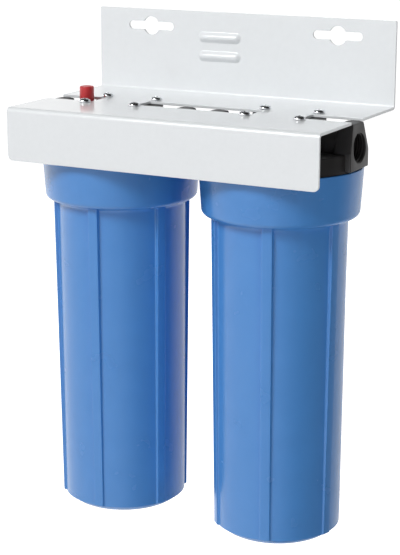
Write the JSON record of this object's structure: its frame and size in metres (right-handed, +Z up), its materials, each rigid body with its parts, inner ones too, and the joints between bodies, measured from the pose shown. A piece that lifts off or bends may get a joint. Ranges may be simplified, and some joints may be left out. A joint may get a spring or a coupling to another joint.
{
  "type": "water filter",
  "caption": "Wall-hung two-stage water filter: blue screw-on bowls under black heads on a pale folded bracket, with side ports and a press-to-vent button.",
  "frame": {"origin": "on the wall face of the back plate, midway between the two keyholes, on their centre line", "axes": "+X along the wall from inlet to outlet, +Y into the wall, +Z up"},
  "size_m": [0.2478, 0.1313, 0.3659],
  "materials": {
    "powder_coat": "glossy pale powder coat",
    "black_plastic": "fine moulded texture, satin",
    "blue_plastic": "smooth moulded polypropylene, soft gloss",
    "red_plastic": "smooth moulded plastic",
    "plated_screws": "bright plated steel",
    "spring_steel": "plain spring steel",
    "seal_rubber": "greased black rubber",
    "filter_fibre": "white spun polypropylene",
    "pale_plastic": "white moulded polypropylene",
    "pressed_carbon": "dull pressed activated carbon"
  },
  "bodies": {
    "frame": {"wall_bracket": "powder_coat", "inlet_head": "black_plastic", "outlet_head": "black_plastic", "joining_nipple": "black_plastic", "left_screw_1": "plated_screws", "left_screw_2": "plated_screws", "left_screw_3": "plated_screws", "left_screw_4": "plated_screws", "right_screw_1": "plated_screws", "right_screw_2": "plated_screws", "right_screw_3": "plated_screws", "right_screw_4": "plated_screws"},
    "sediment_cartridge": {"sediment_core": "pale_plastic", "sediment_media": "filter_fibre"},
    "left_bowl": {"left_bowl": "blue_plastic", "left_bowl_seal": "seal_rubber"},
    "carbon_cartridge": {"carbon_top_gasket": "seal_rubber", "carbon_top_cap": "pale_plastic", "carbon_block": "pressed_carbon", "carbon_wrap": "filter_fibre", "carbon_bottom_cap": "pale_plastic", "carbon_bottom_gasket": "seal_rubber"},
    "right_bowl": {"right_bowl": "blue_plastic", "right_bowl_seal": "seal_rubber"},
    "release_button": {"release_button": "red_plastic", "button_seal": "seal_rubber", "button_clip": "spring_steel", "button_spring": "spring_steel"}
  },
  "joints": [
    {"name": "left_bowl_drop", "type": "slide", "parent": "frame", "child": "sediment_cartridge", "axis": [0, 0, -1], "range_m": [0, 0.0181]},
    {"name": "left_bowl_turn", "type": "hinge", "parent": "sediment_cartridge", "child": "left_bowl", "pos_m": [-0.065, -0.068, -0.2107], "axis": [0, 0, -1], "range_deg": [0, 1080]},
    {"name": "right_bowl_drop", "type": "slide", "parent": "frame", "child": "carbon_cartridge", "axis": [0, 0, -1], "range_m": [0, 0.0181]},
    {"name": "right_bowl_turn", "type": "hinge", "parent": "carbon_cartridge", "child": "right_bowl", "pos_m": [0.065, -0.068, -0.2107], "axis": [0, 0, -1], "range_deg": [0, 1080]},
    {"name": "release_press", "type": "slide", "parent": "frame", "child": "release_button", "axis": [0, 0, -1], "range_m": [0, 0.0025], "stiffness_N_per_m": 500, "springref_m": -0.003, "deforming": ["button_spring"]}
  ],
  "couplings": [
    {"joint": "left_bowl_drop", "follows": "left_bowl_turn", "m_per_rad": 0.00095493},
    {"joint": "right_bowl_drop", "follows": "right_bowl_turn", "m_per_rad": 0.00095493}
  ]
}
